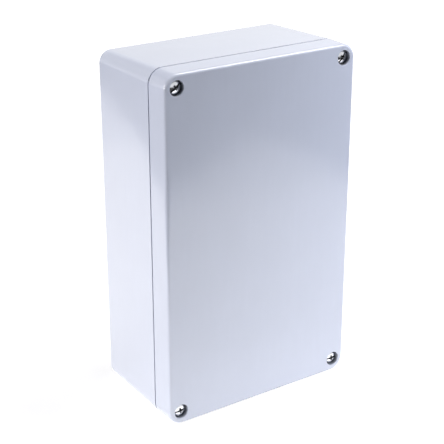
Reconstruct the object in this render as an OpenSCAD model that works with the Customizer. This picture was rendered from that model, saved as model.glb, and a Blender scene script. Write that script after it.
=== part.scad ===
// Polyester enclosure: a deep moulded base, a lid with its seal, captive lid screws and brass inserts.
// It stands on a short end with the lid facing -Y. Lengths are in millimetres, angles in degrees.

/* [Enclosure] */
// Overall width across the lid
box_w = 160; // [140:1:240]
// Overall height along the lid
box_h = 260; // [180:1:400]
// Overall depth from the back to the lid face
box_d = 90; // [70:1:150]
// Depth of the lid, from the parting line to its face
lid_d = 19.5; // [18.5:0.5:26]
// Radius of the four long corners at the parting line
corner_r = 11; // [9:0.5:14]
// Wall thickness of the base at the parting line
wall = 5.5; // [5:0.25:6.5]
// Thickness of the base's floor
floor_t = 5; // [4:0.5:8]
// Thickness of the lid's face
face_t = 4.5; // [3.5:0.25:6]

/* [Moulding] */
// Taper of the base's outer walls
base_draft = 1.6; // [0.5:0.1:2]
// Taper of the lid's outer walls
lid_draft = 1; // [0.5:0.1:2]
// Taper of the inner walls
core_draft = 0.5; // [0.2:0.1:1]
// Radius of the lid's front edge
lid_edge_r = 2; // [1:0.25:4]
// Radius of the base's back edge
back_edge_r = 3.5; // [1:0.25:4]
// Width of the shadow gap along the parting line
gap_w = 1; // [0.6:0.1:1.4]
// Depth of the shadow gap
gap_depth = 1.25; // [0.5:0.25:1.5]

/* [Seal] */
// Thickness of the base's sealing rib
rib_w = 2; // [1.5:0.25:2.5]
// Height of the sealing rib above the parting line
rib_h = 3; // [2:0.25:4]
// Thickness of the gasket
gasket_t = 3.5; // [2.5:0.25:4]

/* [Lid screws] */
// Distance of each lid screw from the two nearest edges
screw_inset = 10; // [9.5:0.25:11]
// Nominal thread diameter
thread_d = 6; // [5:0.5:6]
// Diameter of the screw head
head_d = 9.8; // [9:0.1:10.4]
// Height of the screw head
head_h = 3.8; // [3:0.1:4.4]
// Diameter of the round recess in the lid
recess_d = 11; // [10.8:0.1:12]
// Depth of the head's crown below the lid face
head_sink = 1.4; // [0.4:0.1:2]
// Length of thread that holds the lid, and so the screw's travel
thread_hold = 8; // [5:0.5:8.5]

/* [Fixing points] */
// Distance of each wall fixing hole from the long side
fixing_inset = 25; // [24:0.5:32]
// Diameter of the wall fixing holes
fixing_d = 6.5; // [4.5:0.5:7]
// Distance of the floor inserts from the long side
floor_inset_x = 30; // [22:1:40]
// Distance of the outer floor inserts from the short end
floor_inset_y = 40; // [36:1:60]
// Thread diameter of the floor inserts
floor_thread_d = 4; // [3:1:5]

/* [Hidden] */
$fn = 96;

// Places of the repeated pieces, seen from the front
corner_names = ["top_left", "top_right", "bottom_left", "bottom_right"];
corner_sides = [[-1, 1], [1, 1], [-1, -1], [1, -1]];
floor_names = concat(corner_names, ["middle_left", "middle_right"]);
floor_sides = concat(corner_sides, [[-1, 0], [1, 0]]);

// Colours of the materials
polyester_grey = [0.66, 0.69, 0.76];
stainless = [0.80, 0.80, 0.82];
brass = [0.78, 0.62, 0.30];
seal_black = [0.10, 0.10, 0.11];
nylon_white = [0.88, 0.87, 0.82];

// Heights are counted from the back of the box, which lies on its back while it is drawn
rim_z = box_d - lid_d;
overrun = 1;

// Room left around the screws, their rings and the brass inserts
clearance = 0.3;
ring_play = 0.75;
thread_play = 0.1;
insert_play = 0.05;

// Captive screw and the hollows around it
screw_x = box_w / 2 - screw_inset;
screw_y = box_h / 2 - screw_inset;
seat_z = box_d - head_sink - head_h;
thread_depth = 0.7;
waist_d = thread_d - 2 * thread_depth;
shank_hole_d = thread_d + 2 * clearance;
screw_turns = [38, 52, 8, 5];

// Retaining ring on the screw's waist, and its pocket in the lid
ring_t = 2;
ring_w = 2.35;
ring_lift = 0.5;
ring_d = waist_d + 2 * (thread_play + ring_w);
ring_pocket_d = ring_d + 2 * ring_play;
ring_pocket_h = ring_lift + ring_t + thread_hold + clearance;

// Brass inserts
insert_wall = 1.5;
insert_tail = 4;
insert_d = thread_d + 2 * insert_wall;
insert_l = thread_hold + insert_tail;
tip_room = 2;

// Floor inserts, each in a raised boss
floor_x = box_w / 2 - floor_inset_x;
floor_y = box_h / 2 - floor_inset_y;
floor_insert_d = floor_thread_d + 2 * insert_wall;
floor_insert_l = 2 * floor_thread_d + 1;
floor_bore_d = 0.825 * floor_thread_d;
boss_wall = 3;
boss_d = floor_insert_d + 2 * boss_wall;
boss_h = floor_insert_l - floor_t / 2;

// Wall fixing holes, each with a wide channel for the screw's head and a relief over it in the lid
fixing_x = box_w / 2 - fixing_inset;
fixing_y = screw_y;
head_room = 2.25;
channel_seat = 4;
relief_play = 0.5;
channel_d = fixing_d + 2 * head_room;
channel_floor = floor_t + channel_seat;
relief_d = channel_d + 2 * relief_play;
relief_h = (lid_d - face_t) / 2;

// Seal path: a rectangle whose corners step in around the corner blocks
land = 3;
groove_play = 1;
groove_h = rib_h + gasket_t;
lip_t = 2;
seal_out = rib_w + groove_play;
zone_x = box_w / 2 - wall;
zone_y = box_h / 2 - wall;
step_x = fixing_x - relief_d / 2 - land - seal_out;
step_y = fixing_y - max(relief_d, ring_pocket_d) / 2 - land - seal_out;
zone_r = 6;
step_r = 6;
gasket_play = 0.15;

// Stands the box up, with its lid to the front and its lowest edge on the ground
module stand() {
    translate([0, box_d / 2, box_h / 2])
        rotate([90, 0, 0])
            children();
}

// Sweeps a half section around a rectangle: a run along each side and a quarter turn at each corner
module sweep_around(half_x, half_y, height) {
    translate([-half_x, -half_y, 0])
        cube([2 * half_x, 2 * half_y, height]);
    for (side = [0, 1]) {
        mirror([side, 0, 0])
            translate([half_x, 0, 0])
                rotate([90, 0, 0])
                    linear_extrude(2 * half_y, center = true)
                        children();
        mirror([0, side, 0])
            translate([0, half_y, 0])
                rotate([90, 0, 90])
                    linear_extrude(2 * half_x, center = true)
                        children();
        for (end = [0, 1])
            mirror([side, 0, 0])
                mirror([0, end, 0])
                    translate([half_x, half_y, 0])
                        rotate_extrude(angle = 90)
                            children();
    }
}

// Half section of a shell's outside, with a round far edge below and its half of the shadow gap above
module shell_section(height, draft, edge_r) {
    mouth_z = height - gap_w / 2;
    rim_x = corner_r - gap_depth;
    round_x = corner_r - (edge_r + (mouth_z - edge_r) * sin(draft)) / cos(draft);
    foot = [round_x + edge_r * cos(draft), edge_r - edge_r * sin(draft)];
    mouth = [corner_r, mouth_z];
    polygon([[0, 0], [round_x, 0], foot, mouth, [rim_x, mouth_z], [rim_x, height], [0, height]]);
    intersection() {
        translate([round_x, edge_r])
            circle(r = edge_r);
        translate([round_x, 0])
            square(edge_r);
    }
}

// Outside of the base or lid as a solid block, its mouth at the top
module shell(height, draft, edge_r) {
    sweep_around(box_w / 2 - corner_r, box_h / 2 - corner_r, height)
        shell_section(height, draft, edge_r);
}

// Hollow of the base or lid, its mouth at the top. It steps in around the corner blocks, with round edges.
module hollow(depth, inset) {
    height = depth + overrun;
    foot_in = inset + depth * tan(core_draft);
    mouth_in = inset - overrun * tan(core_draft);
    block = step_r + foot_in + overrun;
    for (half = [[zone_x, step_y], [step_x, zone_y]])
        sweep_around(half.x - zone_r, half.y - zone_r, height)
            polygon([[0, 0], [zone_r - foot_in, 0], [zone_r - mouth_in, height], [0, height]]);
    for (side = [0, 1], end = [0, 1])
        mirror([side, 0, 0])
            mirror([0, end, 0])
                translate([step_x + step_r, step_y + step_r, 0])
                    difference() {
                        translate([-block, -block, 0])
                            cube([block, block, height]);
                        cylinder(r1 = step_r + foot_in, r2 = step_r + mouth_in, h = height);
                    }
}

// Rectangle with round corners, centred
module round_rectangle(half_x, half_y, r) {
    square([2 * half_x, 2 * (half_y - r)], center = true);
    square([2 * (half_x - r), 2 * half_y], center = true);
    for (x = [-1, 1], y = [-1, 1])
        translate([x * (half_x - r), y * (half_y - r)])
            circle(r = r);
}

// Outline of the seal path, grown outwards, with its inner steps rounded
module seal_outline(grow) {
    fill_r = step_r - grow;
    round_rectangle(zone_x + grow, step_y + grow, zone_r + grow);
    round_rectangle(step_x + grow, zone_y + grow, zone_r + grow);
    for (side = [0, 1], end = [0, 1])
        mirror([side, 0])
            mirror([0, end])
                translate([step_x + grow, step_y + grow])
                    difference() {
                        translate([-overrun, -overrun])
                            square(fill_r + overrun);
                        translate([fill_r, fill_r])
                            circle(r = fill_r);
                    }
}

// Band along the seal path
module seal_band(inside, outside, height) {
    linear_extrude(height)
        difference() {
            seal_outline(outside);
            seal_outline(inside);
        }
}

// Moves a piece to one of the four corners
module at_corner(i, x, y, z) {
    translate([corner_sides[i].x * x, corner_sides[i].y * y, z])
        children();
}

// Moves a piece to one of the six places on the floor
module at_floor_point(i, z) {
    translate([floor_sides[i].x * floor_x, floor_sides[i].y * floor_y, z])
        children();
}

// Holes of one corner block: the insert's seat with room for the screw tip, and the wall fixing channel
module base_corner_holes(i) {
    at_corner(i, screw_x, screw_y, rim_z - insert_l)
        cylinder(d = insert_d + 2 * insert_play, h = insert_l + overrun);
    at_corner(i, screw_x, screw_y, rim_z - insert_l - tip_room)
        cylinder(d = shank_hole_d, h = tip_room + overrun);
    at_corner(i, fixing_x, fixing_y, channel_floor)
        cylinder(d = channel_d, h = rim_z);
    at_corner(i, fixing_x, fixing_y, -overrun)
        cylinder(d = fixing_d, h = channel_floor + 2 * overrun);
}

module base() {
    color(polyester_grey)
        difference() {
            union() {
                difference() {
                    shell(rim_z, base_draft, back_edge_r);
                    translate([0, 0, floor_t])
                        hollow(rim_z - floor_t, 0);
                }
                translate([0, 0, rim_z - overrun])
                    seal_band(0, rib_w, rib_h + overrun);
                for (i = [0:5])
                    at_floor_point(i, floor_t - overrun)
                        cylinder(d = boss_d, h = boss_h + overrun);
            }
            for (i = [0:3])
                base_corner_holes(i);
            for (i = [0:5])
                at_floor_point(i, floor_t + boss_h - floor_insert_l)
                    cylinder(d = floor_insert_d + 2 * insert_play, h = floor_insert_l + overrun);
        }
}

// Holes of one lid corner: head recess, shank hole, ring pocket and room over the wall fixing screw
module lid_corner_holes(i) {
    at_corner(i, screw_x, screw_y, seat_z)
        cylinder(d = recess_d, h = box_d);
    at_corner(i, screw_x, screw_y, rim_z - overrun)
        cylinder(d = shank_hole_d, h = lid_d);
    at_corner(i, screw_x, screw_y, rim_z - overrun)
        cylinder(d = ring_pocket_d, h = ring_pocket_h + overrun);
    at_corner(i, fixing_x, fixing_y, rim_z - overrun)
        cylinder(d = relief_d, h = relief_h + overrun);
}

module lid() {
    color(polyester_grey)
        difference() {
            translate([0, 0, box_d])
                mirror([0, 0, 1])
                    shell(lid_d, lid_draft, lid_edge_r);
            translate([0, 0, box_d - face_t])
                mirror([0, 0, 1])
                    hollow(lid_d - face_t, groove_play + lip_t);
            translate([0, 0, rim_z - overrun])
                seal_band(-groove_play, seal_out, groove_h + overrun);
            for (i = [0:3])
                lid_corner_holes(i);
        }
}

module gasket() {
    color(seal_black)
        translate([0, 0, rim_z + rib_h])
            seal_band(-groove_play + gasket_play, seal_out - gasket_play, gasket_t);
}

// Slot and cross in the head, sunk from its crown
module drive_recess() {
    slot_w = 0.12 * head_d;
    slot_h = 0.38 * head_h;
    cross_w = 0.17 * head_d;
    cross_h = 0.62 * head_h;
    cross_r = 0.27 * head_d;
    translate([-head_d, -slot_w / 2, -slot_h])
        cube([2 * head_d, slot_w, 2 * slot_h]);
    intersection() {
        translate([0, 0, -cross_h])
            cylinder(r1 = cross_r / 2, r2 = cross_r, h = cross_h + overrun);
        for (turn = [0, 90])
            rotate(turn)
                translate([-head_d, -cross_w / 2, -cross_h])
                    cube([2 * head_d, cross_w, 2 * cross_h]);
    }
}

// Raised head: a short cylinder with a domed crown
module screw_head() {
    crown_h = 0.35 * head_h;
    crown_r = (pow(head_d / 2, 2) + pow(crown_h, 2)) / (2 * crown_h);
    intersection() {
        cylinder(d = head_d, h = head_h);
        translate([0, 0, head_h - crown_r])
            sphere(r = crown_r);
    }
}

module lid_screw(i) {
    thread_r = thread_d / 2 - thread_play / 2;
    tip_h = 1;
    shoulder_z = rim_z + ring_lift;
    color(stainless)
        at_corner(i, screw_x, screw_y, 0)
            difference() {
                union() {
                    translate([0, 0, seat_z])
                        screw_head();
                    translate([0, 0, shoulder_z - overrun])
                        cylinder(d = waist_d, h = seat_z - shoulder_z + 2 * overrun);
                    translate([0, 0, rim_z - thread_hold + tip_h])
                        cylinder(r = thread_r, h = thread_hold - tip_h + ring_lift);
                    translate([0, 0, rim_z - thread_hold])
                        cylinder(r1 = thread_r - tip_h, r2 = thread_r, h = tip_h);
                }
                translate([0, 0, seat_z + head_h])
                    rotate(screw_turns[i])
                        drive_recess();
            }
}

module retaining_ring(i) {
    color(nylon_white)
        at_corner(i, screw_x, screw_y, rim_z + ring_lift)
            difference() {
                cylinder(d = ring_d, h = ring_t);
                translate([0, 0, -overrun])
                    cylinder(d = waist_d + 2 * thread_play, h = ring_t + 2 * overrun);
            }
}

// Brass bush with two grip grooves and a chamfered mouth, its mouth at the top
module insert_bush(outer_d, bore_d, length) {
    groove_w = length / 6;
    groove_depth = 0.5;
    chamfer = 0.4;
    difference() {
        cylinder(d = outer_d, h = length);
        translate([0, 0, -overrun])
            cylinder(d = bore_d, h = length + 2 * overrun);
        translate([0, 0, length - chamfer])
            cylinder(d1 = bore_d, d2 = bore_d + 4 * chamfer, h = 2 * chamfer);
        for (place = [1, 3])
            translate([0, 0, (place + 0.5) * groove_w])
                difference() {
                    cylinder(d = outer_d + overrun, h = groove_w);
                    cylinder(d = outer_d - 2 * groove_depth, h = groove_w);
                }
    }
}

module lid_insert(i) {
    color(brass)
        at_corner(i, screw_x, screw_y, rim_z - insert_l)
            insert_bush(insert_d, thread_d + 2 * thread_play, insert_l);
}

module floor_insert(i) {
    color(brass)
        at_floor_point(i, floor_t + boss_h - floor_insert_l)
            insert_bush(floor_insert_d, floor_bore_d, floor_insert_l);
}

stand() base();
stand() lid();
stand() gasket();
for (i = [0:3]) {
    stand() lid_screw(i);
    stand() retaining_ring(i);
    stand() lid_insert(i);
}
for (i = [0:5])
    stand() floor_insert(i);
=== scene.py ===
"""Looks of the polyester enclosure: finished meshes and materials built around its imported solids."""

import math

import bmesh
import bpy
from mathutils import Matrix, Vector

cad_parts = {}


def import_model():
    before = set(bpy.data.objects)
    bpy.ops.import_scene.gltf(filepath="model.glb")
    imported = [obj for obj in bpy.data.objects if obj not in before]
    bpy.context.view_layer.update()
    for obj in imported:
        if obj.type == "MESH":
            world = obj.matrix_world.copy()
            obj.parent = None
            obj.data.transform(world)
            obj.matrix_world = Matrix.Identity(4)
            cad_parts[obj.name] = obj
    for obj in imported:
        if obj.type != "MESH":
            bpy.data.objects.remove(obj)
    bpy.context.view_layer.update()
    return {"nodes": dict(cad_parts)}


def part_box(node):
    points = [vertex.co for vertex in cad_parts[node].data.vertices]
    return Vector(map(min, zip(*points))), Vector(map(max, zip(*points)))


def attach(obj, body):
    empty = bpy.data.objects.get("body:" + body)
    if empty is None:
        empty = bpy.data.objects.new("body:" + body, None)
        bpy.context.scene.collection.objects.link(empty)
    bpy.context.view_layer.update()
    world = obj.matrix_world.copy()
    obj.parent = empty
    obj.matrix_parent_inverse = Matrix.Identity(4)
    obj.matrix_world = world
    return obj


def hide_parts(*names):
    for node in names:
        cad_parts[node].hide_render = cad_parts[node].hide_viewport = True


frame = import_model()

MM = 0.001
FULL_TURN = 2 * math.pi
SHARP_ANGLE = math.radians(30)
CORNERS = ("top_left", "top_right", "bottom_left", "bottom_right")
FLOOR_POINTS = CORNERS + ("middle_left", "middle_right")

# Threads: radius of the crest, radius of the root, pitch
SCREW_THREAD = (2.95 * MM, 2.35 * MM, 1.0 * MM)
LID_INSERT_THREAD = (3.02 * MM, 3.4 * MM, 1.0 * MM)
FLOOR_INSERT_THREAD = (1.65 * MM, 2.0 * MM, 0.7 * MM)


# Nodes


def feed(tree, value, socket):
    """Puts another node's output, a number or a colour into a socket."""
    if isinstance(value, bpy.types.NodeSocket):
        tree.links.new(value, socket)
    else:
        socket.default_value = value


def map_range(tree, value, source, target=(0, 1)):
    """A value mapped from one range to another, and held at its ends."""
    made = tree.nodes.new("ShaderNodeMapRange")
    for socket, limit in zip(("From Min", "From Max", "To Min", "To Max"), (*source, *target)):
        made.inputs[socket].default_value = limit
    feed(tree, value, made.inputs["Value"])
    return made.outputs["Result"]


def combine(tree, operation, first, second):
    """Two values joined by a math operation."""
    made = tree.nodes.new("ShaderNodeMath")
    made.operation = operation
    feed(tree, first, made.inputs[0])
    feed(tree, second, made.inputs[1])
    return made.outputs[0]


# Materials


class Recipe:
    """A node material in the making: its shader, and short calls that put nodes in front of it."""

    def __init__(self, name, **sockets):
        self.material = bpy.data.materials.new(name)
        self.material.use_nodes = True
        self.tree = self.material.node_tree
        self.shader = self.tree.nodes["Principled BSDF"]
        for socket, value in sockets.items():
            self.shader.inputs[socket.replace("_", " ")].default_value = value

    def node(self, kind, **settings):
        """A new node with some of its settings."""
        made = self.tree.nodes.new(kind)
        for name, value in settings.items():
            setattr(made, name, value)
        return made

    def link(self, output, socket):
        """Joins a node's output to a socket."""
        self.tree.links.new(output, socket)

    def place(self, system="Object", stretch=(1, 1, 1), shift=(0, 0, 0)):
        """Coordinates fixed to the piece, in metres for the Object system."""
        coordinates = self.node("ShaderNodeTexCoord")
        mapping = self.node("ShaderNodeMapping")
        mapping.inputs["Scale"].default_value = stretch
        mapping.inputs["Location"].default_value = shift
        self.link(coordinates.outputs[system], mapping.inputs["Vector"])
        return mapping.outputs["Vector"]

    def noise(self, size, detail=2.0, stretch=(1, 1, 1)):
        """Soft noise between 0 and 1 whose features are about size across, in metres."""
        made = self.node("ShaderNodeTexNoise")
        made.inputs["Scale"].default_value = 1 / size
        made.inputs["Detail"].default_value = detail
        self.link(self.place(stretch=stretch), made.inputs["Vector"])
        return made.outputs["Fac"]

    def spread(self, value, low, high):
        """A noise value's usual spread mapped to a range."""
        usual = (0.3, 0.7)
        return map_range(self.tree, value, usual, (low, high))

    def mix(self, share, first, second):
        """Colour between two others, each a colour or another node's output."""
        made = self.node("ShaderNodeMix", data_type="RGBA")
        for socket, value in (("Factor", share), ("A", first), ("B", second)):
            target = [s for s in made.inputs if s.name == socket and s.enabled][0]
            feed(self.tree, value, target)
        return [s for s in made.outputs if s.enabled][0]

    def edges(self, width):
        """1 on edges that stick out or in, within about width of them, and 0 on flat faces."""
        # Cosines of the angle between the face's normal and the rounded one
        flat, bent = 1.0, 0.85
        rounded = self.node("ShaderNodeBevel", samples=6)
        rounded.inputs["Radius"].default_value = width
        plain = self.node("ShaderNodeNewGeometry")
        dot = self.node("ShaderNodeVectorMath", operation="DOT_PRODUCT")
        self.link(rounded.outputs["Normal"], dot.inputs[0])
        self.link(plain.outputs["Normal"], dot.inputs[1])
        return map_range(self.tree, dot.outputs["Value"], (flat, bent))

    def painted_shade_mask(self, reach, alone=False):
        """0 on open faces, and 1 deep in a hole or slot, from how open the space within reach is.

        Where a piece is taken alone, its neighbours and the floor don't close that space.
        """
        # The mask darkens colours as painted shade in holes, slots and recesses
        clear, full = 0.9, 0.45
        openness = self.node("ShaderNodeAmbientOcclusion", samples=8, only_local=alone)
        openness.inputs["Distance"].default_value = reach
        return map_range(self.tree, openness.outputs["AO"], (clear, full))

    def bump(self, *layers):
        """Relief made of (height value, depth in metres) layers, one over the other."""
        below = None
        for value, depth in layers:
            made = self.node("ShaderNodeBump")
            made.inputs["Strength"].default_value = 1.0
            made.inputs["Distance"].default_value = depth
            self.link(value, made.inputs["Height"])
            if below is not None:
                self.link(below, made.inputs["Normal"])
            below = made.outputs["Normal"]
        self.link(below, self.shader.inputs["Normal"])

    def colour(self, value):
        """Gives the shader its colour."""
        self.link(value, self.shader.inputs["Base Color"])

    def roughness(self, value):
        """Gives the shader its roughness."""
        self.link(value, self.shader.inputs["Roughness"])


def shade(colour, factor):
    """A colour made lighter or darker, as the four numbers that a node takes."""
    return (*(factor * part for part in colour), 1.0)


def polyester_material():
    """Pressed glass-filled polyester: half gloss, faintly clouded by its flow, with a fine uneven skin."""
    grey = (0.585, 0.63, 0.755)
    recipe = Recipe("polyester", IOR=1.55)
    clouds = recipe.spread(recipe.noise(45 * MM, detail=3), 0, 1)
    flow = recipe.spread(recipe.noise(4 * MM, detail=4, stretch=(1, 1, 0.12)), 0, 0.5)
    body = recipe.mix(clouds, shade(grey, 0.985), shade(grey, 1.015))
    body = recipe.mix(flow, body, shade(grey, 0.98))
    worn = recipe.mix(recipe.edges(0.6 * MM), body, shade(grey, 1.05))
    # Painted shade: hollows such as the screw recesses are darkened to a tenth of the grey, where shade
    # falls in them
    painted_recess_shade = recipe.painted_shade_mask(8 * MM, alone=True)
    recipe.colour(recipe.mix(painted_recess_shade, worn, shade(grey, 0.1)))
    recipe.roughness(recipe.spread(recipe.noise(12 * MM), 0.11, 0.15))
    recipe.bump((recipe.noise(60 * MM), 0.25 * MM), (recipe.noise(1.6 * MM), 0.006 * MM))
    return recipe.material


def stainless_material():
    """Turned stainless steel with fine rings from the lathe and slight stains."""
    steel = (0.72, 0.735, 0.78)
    recipe = Recipe("stainless", Metallic=1.0)
    rings = recipe.node("ShaderNodeTexWave", wave_type="RINGS", rings_direction="Y")
    rings.inputs["Scale"].default_value = 14
    rings.inputs["Distortion"].default_value = 0.4
    recipe.link(recipe.place("Generated", shift=(-0.5, -0.5, -0.5)), rings.inputs["Vector"])
    stains = recipe.spread(recipe.noise(2 * MM, detail=3), 0, 1)
    body = recipe.mix(stains, shade(steel, 0.9), shade(steel, 1.05))
    # Painted shade: the slots in the screw heads are darkened nearly to black, where shade falls in them
    painted_slot_shade = recipe.painted_shade_mask(2 * MM)
    recipe.colour(recipe.mix(painted_slot_shade, body, shade(steel, 0.05)))
    recipe.roughness(recipe.spread(recipe.noise(1.1 * MM), 0.12, 0.22))
    recipe.bump((rings.outputs["Fac"], 0.01 * MM))
    return recipe.material


def brass_material():
    """Turned brass, a little tarnished."""
    bright = (0.80, 0.58, 0.27)
    recipe = Recipe("brass", Metallic=1.0)
    tarnish = recipe.spread(recipe.noise(2.5 * MM, detail=4), 0, 1)
    recipe.colour(recipe.mix(tarnish, shade(bright, 1.0), shade(bright, 0.72)))
    recipe.roughness(recipe.spread(recipe.noise(0.9 * MM), 0.22, 0.42))
    recipe.bump((recipe.noise(0.5 * MM), 0.008 * MM))
    return recipe.material


def rubber_material():
    """Matt black seal rubber with a fine grain and a trace of dust."""
    black = (0.022, 0.022, 0.024)
    recipe = Recipe("seal_rubber", IOR=1.5)
    dust = recipe.spread(recipe.noise(6 * MM, detail=5), 0, 1)
    recipe.colour(recipe.mix(dust, shade(black, 0.8), shade(black, 1.9)))
    recipe.roughness(recipe.spread(recipe.noise(3 * MM), 0.62, 0.8))
    recipe.bump((recipe.noise(0.4 * MM), 0.02 * MM))
    return recipe.material


def nylon_material():
    """Natural nylon: milky and slightly see-through at its edges."""
    milk = (0.80, 0.78, 0.70)
    recipe = Recipe("nylon", IOR=1.53, Subsurface_Weight=0.25)
    recipe.shader.inputs["Subsurface Radius"].default_value = (0.9 * MM, 0.8 * MM, 0.6 * MM)
    haze = recipe.spread(recipe.noise(2 * MM), 0, 1)
    recipe.colour(recipe.mix(haze, shade(milk, 0.94), shade(milk, 1.04)))
    recipe.roughness(recipe.spread(recipe.noise(0.8 * MM), 0.38, 0.5))
    recipe.bump((recipe.noise(0.6 * MM), 0.01 * MM))
    return recipe.material


# Meshes


def new_object(name, work, material):
    """A mesh in the making becomes an object of the scene, with one material."""
    mesh = bpy.data.meshes.new(name)
    work.to_mesh(mesh)
    work.free()
    mesh.materials.append(material)
    made = bpy.data.objects.new(name, mesh)
    bpy.context.scene.collection.objects.link(made)
    return made


def new_piece(name, work, body, slot, replaced):
    """A mesh in the making becomes a shown piece that rides on a body and stands for CAD nodes."""
    bmesh.ops.recalc_face_normals(work, faces=work.faces)
    piece = new_object(name, work, MATERIALS[slot])
    mesh = piece.data
    # The CAD mesh's own normals don't fit the merged faces
    if "custom_normal" in mesh.attributes:
        mesh.attributes.remove(mesh.attributes["custom_normal"])
    mesh.shade_smooth()
    mesh.set_sharp_from_angle(angle=SHARP_ANGLE)
    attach(piece, body)
    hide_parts(*replaced)
    return piece


def soften(piece, width):
    """Rounds a piece's sharp edges by a small width."""
    bevel = piece.modifiers.new("soft_edges", "BEVEL")
    bevel.width = width
    bevel.segments = 2
    bevel.limit_method = "ANGLE"
    bevel.angle_limit = SHARP_ANGLE
    bevel.harden_normals = True


def plain_faces(node):
    """A CAD node's mesh with the triangles of each flat face merged into one."""
    same_point = 0.002 * MM
    same_plane = math.radians(0.05)
    work = bmesh.new()
    work.from_mesh(frame["nodes"][node].data)
    bmesh.ops.remove_doubles(work, verts=work.verts, dist=same_point)
    bmesh.ops.dissolve_limit(
        work,
        angle_limit=same_plane,
        verts=work.verts,
        edges=work.edges,
        use_dissolve_boundaries=False,
    )
    return work


def turned(work, rings, sides, matrix, closed=False):
    """Adds a turned surface around +Z: rings of (height, radius), where a radius may depend on the angle.

    A closed surface joins its last ring to its first one, and any other gets a face at each end.
    """
    loops = []
    for height, radius in rings:
        loop = []
        for step in range(sides):
            angle = FULL_TURN * step / sides
            reach = radius(angle, height) if callable(radius) else radius
            point = Vector((reach * math.cos(angle), reach * math.sin(angle), height))
            loop.append(work.verts.new(matrix @ point))
        loops.append(loop)
    following = loops[1:] + loops[:1] if closed else loops[1:]
    for low, high in zip(loops, following):
        for step in range(sides):
            after = (step + 1) % sides
            work.faces.new((low[step], low[after], high[after], high[step]))
    if not closed:
        work.faces.new(loops[0][::-1])
        work.faces.new(loops[-1])


def thread(crest, root, pitch):
    """Radius of a right-hand thread at an angle and height, with flat crests and roots."""
    # Shares of half a pitch; the crest takes the rest
    flat_root = 0.2
    flank = 0.55

    def radius(angle, height):
        phase = (height / pitch - angle / FULL_TURN) % 1
        wave = abs(2 * phase - 1)
        share = min(max((wave - flat_root) / flank, 0), 1)
        return root + (crest - root) * share

    return radius


def steps(start, end, count):
    """Evenly spaced values from start to end."""
    return [start + (end - start) * i / count for i in range(count + 1)]


def facing_front(x, y, z):
    """Matrix that puts a piece drawn along +Z at a point, with its axis towards the lid's face."""
    return Matrix.Translation((x, y, z)) @ Matrix.Rotation(math.radians(90), 4, "X")


def node_axis(node):
    """A turned CAD node's back end on its axis, its radius and its length."""
    low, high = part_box(node)
    centre = (low + high) / 2
    return (centre.x, high.y, centre.z), (high.x - low.x) / 2, high.y - low.y


# Pieces


def shells():
    """Base and lid, from their solids, with every moulded edge softened."""
    edge = 0.3 * MM
    for node in ("base", "lid"):
        shell = new_piece(f"{node}_shell", plain_faces(node), node, "polyester", [node])
        soften(shell, edge)


def screw(corner):
    """Captive screw: head and waist from its solid, and a cut thread below them."""
    node = f"lid_screw_{corner}"
    (x, tip_y, z), _, _ = node_axis(node)
    crest, root, pitch = SCREW_THREAD
    length = 8.5 * MM
    # The solid ends this far above the thread, so that their end faces don't meet
    gap = 0.05 * MM
    tip_chamfer = 0.35 * MM
    run_out_slope = 0.5
    rings_per_turn = 10
    sides = 32
    work = plain_faces(node)
    bmesh.ops.bisect_plane(
        work,
        geom=work.verts[:] + work.edges[:] + work.faces[:],
        plane_co=(x, tip_y - length - gap, z),
        plane_no=(0, 1, 0),
        clear_outer=True,
    )
    bmesh.ops.holes_fill(work, edges=[e for e in work.edges if e.is_boundary])
    profile = thread(crest, root, pitch)

    def cut(angle, height):
        lead_in = root - tip_chamfer + height
        run_out = root + run_out_slope * (length - height)
        return min(profile(angle, height), lead_in, run_out)

    heights = steps(0, length, round(rings_per_turn * length / pitch))
    turned(work, [(h, cut) for h in heights], sides, facing_front(x, tip_y, z))
    new_piece(f"screw_{corner}", work, f"screw_{corner}", "stainless", [node])


def retaining_ring(corner):
    """Nylon ring with broken edges, pressed over the screw's waist."""
    node = f"retaining_ring_{corner}"
    place, outer, length = node_axis(node)
    inner = 2.4 * MM
    chamfer = 0.25 * MM
    sides = 64
    rings = [
        (0, inner + chamfer),
        (0, outer - chamfer),
        (chamfer, outer),
        (length - chamfer, outer),
        (length, outer - chamfer),
        (length, inner + chamfer),
        (length - chamfer, inner),
        (chamfer, inner),
    ]
    work = bmesh.new()
    turned(work, rings, sides, facing_front(*place), closed=True)
    new_piece(f"ring_{corner}", work, f"ring_{corner}", "nylon", [node])


def insert(node, crest, root, pitch):
    """Brass insert: knurled lands with two grip grooves outside, a cut thread inside, a chamfered mouth."""
    place, outer, length = node_axis(node)
    teeth = 32
    tooth = 0.12 * MM
    groove = 0.5 * MM
    mouth = 0.4 * MM
    rim = 0.3 * MM
    rim_height = 0.2 * MM
    rings_per_turn = 8
    land = length / 6
    bore = thread(root, crest, pitch)

    def knurl(angle, height):
        return outer - tooth * (0.5 + 0.5 * math.cos(teeth * angle))

    outside = [(0, knurl)]
    for groove_start in (1.5 * land, 3.5 * land):
        outside += [
            (groove_start, knurl),
            (groove_start, outer - groove),
            (groove_start + land, outer - groove),
            (groove_start + land, knurl),
        ]
    outside += [(length - rim_height, knurl), (length, outer - rim), (length, crest + 2 * mouth)]
    inside = [(h, bore) for h in steps(length - mouth, 0, round(rings_per_turn * length / pitch))]
    work = bmesh.new()
    turned(work, outside + inside, 4 * teeth, facing_front(*place), closed=True)
    new_piece(f"{node}_turned", work, "base", "brass", [node])


def rounded_path(corners, arc_steps=10):
    """Closed path through corners of (x, y, radius), each replaced by an arc."""
    points = []
    count = len(corners)
    for i, (x, y, radius) in enumerate(corners):
        here = Vector((x, y))
        before = (Vector(corners[i - 1][:2]) - here).normalized()
        after = (Vector(corners[(i + 1) % count][:2]) - here).normalized()
        middle = here + radius * (before + after)
        for angle in steps(0, math.pi / 2, arc_steps):
            points.append(middle - radius * (math.cos(angle) * after + math.sin(angle) * before))
    return points


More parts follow.
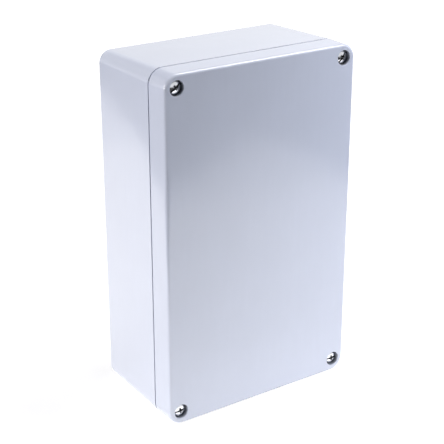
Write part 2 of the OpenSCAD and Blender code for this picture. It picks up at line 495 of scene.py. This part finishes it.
def seal_corners(grow):
    """Corners of the seal path, grown outwards: a rectangle that steps in around the corner blocks."""
    zone_x = 74.5 * MM
    zone_y = 124.5 * MM
    step_x = 43 * MM
    step_y = 108 * MM
    radius = 6 * MM
    quarter = [
        (zone_x + grow, step_y + grow, radius + grow),
        (step_x + grow, step_y + grow, radius - grow),
        (step_x + grow, zone_y + grow, radius + grow),
    ]
    corners = []
    for side_x, side_y in ((1, 1), (-1, 1), (-1, -1), (1, -1)):
        turn = quarter if side_x * side_y > 0 else quarter[::-1]
        corners += [(side_x * x, side_y * y, r) for x, y, r in turn]
    return corners


def gasket():
    """Rubber seal in the lid's groove: round edges, and a shallow print of the base's rib in its face."""
    low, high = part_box("gasket")
    middle_z = (low.z + high.z) / 2
    face, back = high.y, low.y
    # How far the seal and the rib's print reach outwards from the seal path
    inner, outer = -0.85 * MM, 2.85 * MM
    print_start, print_end = 0.0, 2.0 * MM
    edge = 0.6 * MM
    print_slope = 0.3 * MM
    print_depth = 0.25 * MM
    section = [
        (inner, back + edge),
        (inner, face - edge),
        (inner + edge, face),
        (print_start, face),
        (print_start + print_slope, face - print_depth),
        (print_end - print_slope, face - print_depth),
        (print_end, face),
        (outer - edge, face),
        (outer, face - edge),
        (outer, back + edge),
        (outer - edge, back),
        (inner + edge, back),
    ]
    work = bmesh.new()
    loops = [
        [work.verts.new((p.x, y, middle_z + p.y)) for p in rounded_path(seal_corners(grow))]
        for grow, y in section
    ]
    for loop, after in zip(loops, loops[1:] + loops[:1]):
        for i in range(len(loop)):
            j = (i + 1) % len(loop)
            work.faces.new((loop[i], loop[j], after[j], after[i]))
    new_piece("gasket_ring", work, "lid", "seal_rubber", ["gasket"])


# Stage


def seen_directly(tree):
    """1 for rays of the camera, of reflections and through glass, and 0 for light on matt faces."""
    path = tree.nodes.new("ShaderNodeLightPath")
    seen = path.outputs["Is Camera Ray"]
    for kind in ("Is Glossy Ray", "Is Transmission Ray"):
        seen = combine(tree, "MAXIMUM", seen, path.outputs[kind])
    return seen


def floor_paint():
    """Matt pale paint. The camera and reflections also see it glow, more so far from the part."""
    near, far = 0.3, 1.2
    near_glow, far_glow = 0.58, 0.97
    material = bpy.data.materials.new("floor_paint")
    material.use_nodes = True
    tree = material.node_tree
    tree.nodes.remove(tree.nodes["Principled BSDF"])
    paint = tree.nodes.new("ShaderNodeBsdfDiffuse")
    paint.inputs["Color"].default_value = (0.85, 0.85, 0.86, 1)
    place = tree.nodes.new("ShaderNodeNewGeometry")
    distance = tree.nodes.new("ShaderNodeVectorMath")
    distance.operation = "LENGTH"
    tree.links.new(place.outputs["Position"], distance.inputs[0])
    glow = map_range(tree, distance.outputs["Value"], (near, far), (near_glow, far_glow))
    light = tree.nodes.new("ShaderNodeEmission")
    tree.links.new(combine(tree, "MULTIPLY", glow, seen_directly(tree)), light.inputs["Strength"])
    both = tree.nodes.new("ShaderNodeAddShader")
    tree.links.new(paint.outputs[0], both.inputs[0])
    tree.links.new(light.outputs[0], both.inputs[1])
    tree.links.new(both.outputs[0], tree.nodes["Material Output"].inputs["Surface"])
    return material


def flat_stage(name, faces, material):
    """Flat stage piece made of faces, each a list of points."""
    work = bmesh.new()
    for points in faces:
        work.faces.new([work.verts.new(point) for point in points])
    made = new_object(name, work, material)
    return made


def square(half, z=0.0):
    """Corner points of a level square around the part."""
    return [(half * x, half * y, z) for x, y in ((-1, -1), (1, -1), (1, 1), (-1, 1))]


def floor():
    """Pale floor under the part, far larger than the view."""
    half_width = 6
    flat_stage("floor", [square(half_width)], floor_paint())


def world():
    """Faint light all around: white to the camera, and in reflections white below a dark ceiling."""
    ambient = 0.02
    ceiling = 0.1
    # The ceiling fades in between these sines of the height above the horizon
    ceiling_edge = (0.45, 0.55)
    made = bpy.data.worlds.new("studio")
    bpy.context.scene.world = made
    made.use_nodes = True
    tree = made.node_tree
    background = tree.nodes["Background"]
    background.inputs["Color"].default_value = (1, 1, 1, 1)
    way = tree.nodes.new("ShaderNodeTexCoord")
    height = tree.nodes.new("ShaderNodeSeparateXYZ")
    tree.links.new(way.outputs["Generated"], height.inputs["Vector"])
    mirrored = map_range(tree, height.outputs["Z"], ceiling_edge, (1, ceiling))
    path = tree.nodes.new("ShaderNodeLightPath")
    shown = combine(tree, "MAXIMUM", path.outputs["Is Camera Ray"], mirrored)
    seen = combine(tree, "MULTIPLY", shown, seen_directly(tree))
    tree.links.new(combine(tree, "MAXIMUM", seen, ambient), background.inputs["Strength"])


def softbox(name, place, aim, size, power, colour):
    """Soft lamp of a width and a length at a place, aimed at a point, that the camera doesn't see."""
    light = bpy.data.lights.new(name, "AREA")
    light.shape = "RECTANGLE"
    light.size, light.size_y = size
    light.energy = power
    light.color = colour
    lamp = bpy.data.objects.new(name, light)
    lamp.location = place
    way = Vector(aim) - Vector(place)
    lamp.rotation_euler = way.to_track_quat("-Z", "Y").to_euler()
    lamp.visible_camera = False
    bpy.context.scene.collection.objects.link(lamp)
    return lamp


def lamps():
    """A lamp high at the right, one at the left, a near one at the right, and a lit table under the part."""
    softbox(
        "high",
        place=(0.5, -0.2, 1.0),
        aim=(0, 0, 0.2),
        size=(0.48, 0.7),
        power=11.8,
        colour=(1.0, 0.975, 0.954),
    )
    softbox(
        "left",
        place=(-1.2, 0.0, 0.5),
        aim=(0, 0, 0.15),
        size=(0.4, 0.4),
        power=12.05,
        colour=(1.0, 0.974, 0.971),
    )
    near = softbox(
        "near",
        place=(0.32, -0.28, 0.22),
        aim=(0, 0, 0.15),
        size=(0.2, 0.2),
        power=0.692,
        colour=(0.833, 0.881, 1.0),
    )
    # The near lamp has no mirror image in the part's gloss
    near.visible_glossy = False
    softbox(
        "light_table",
        place=(0, 0.1, 0.5 * MM),
        aim=(0, 0.1, 1),
        size=(0.74, 1.0),
        power=0.95,
        colour=(1.0, 0.95, 0.82),
    )


def dark_surround():
    """Dark cloth around the lit table, unseen by the camera: the part's gloss shows the table's edge."""
    table_corners = ((-0.36, -0.19), (0.37, -0.55), (0.37, 0.9), (-0.42, 0.9))
    half_width = 2.0
    height = 1 * MM
    cloth = bpy.data.materials.new("dark_cloth")
    cloth.use_nodes = True
    shader = cloth.node_tree.nodes["Principled BSDF"]
    shader.inputs["Base Color"].default_value = (0.03, 0.03, 0.03, 1)
    shader.inputs["Roughness"].default_value = 1.0
    inner = [(x, y, height) for x, y in table_corners]
    outer = square(half_width, height)
    sides = [(inner[i - 1], inner[i], outer[i], outer[i - 1]) for i in range(len(inner))]
    made = flat_stage("dark_surround", sides, cloth)
    made.visible_camera = False
    made.visible_shadow = False


def camera():
    """Camera at the photograph's viewing angle, measured from the part's bottom centre."""
    data = bpy.data.cameras.new("camera")
    data.sensor_width = 36
    data.lens = 98.03
    made = bpy.data.objects.new("camera", data)
    made.location = (-0.4750, -0.6826, 0.4632)
    made.rotation_euler = (math.radians(67.93), 0, math.radians(-34.63))
    bpy.context.scene.collection.objects.link(made)
    bpy.context.scene.camera = made


# The scene, in building order

MATERIALS = {
    "polyester": polyester_material(),
    "stainless": stainless_material(),
    "brass": brass_material(),
    "seal_rubber": rubber_material(),
    "nylon": nylon_material(),
}
shells()
for corner in CORNERS:
    screw(corner)
    retaining_ring(corner)
    insert(f"lid_insert_{corner}", *LID_INSERT_THREAD)
for point in FLOOR_POINTS:
    insert(f"floor_insert_{point}", *FLOOR_INSERT_THREAD)
gasket()
floor()
world()
lamps()
dark_surround()
camera()
bpy.context.scene.view_settings.view_transform = "Standard"
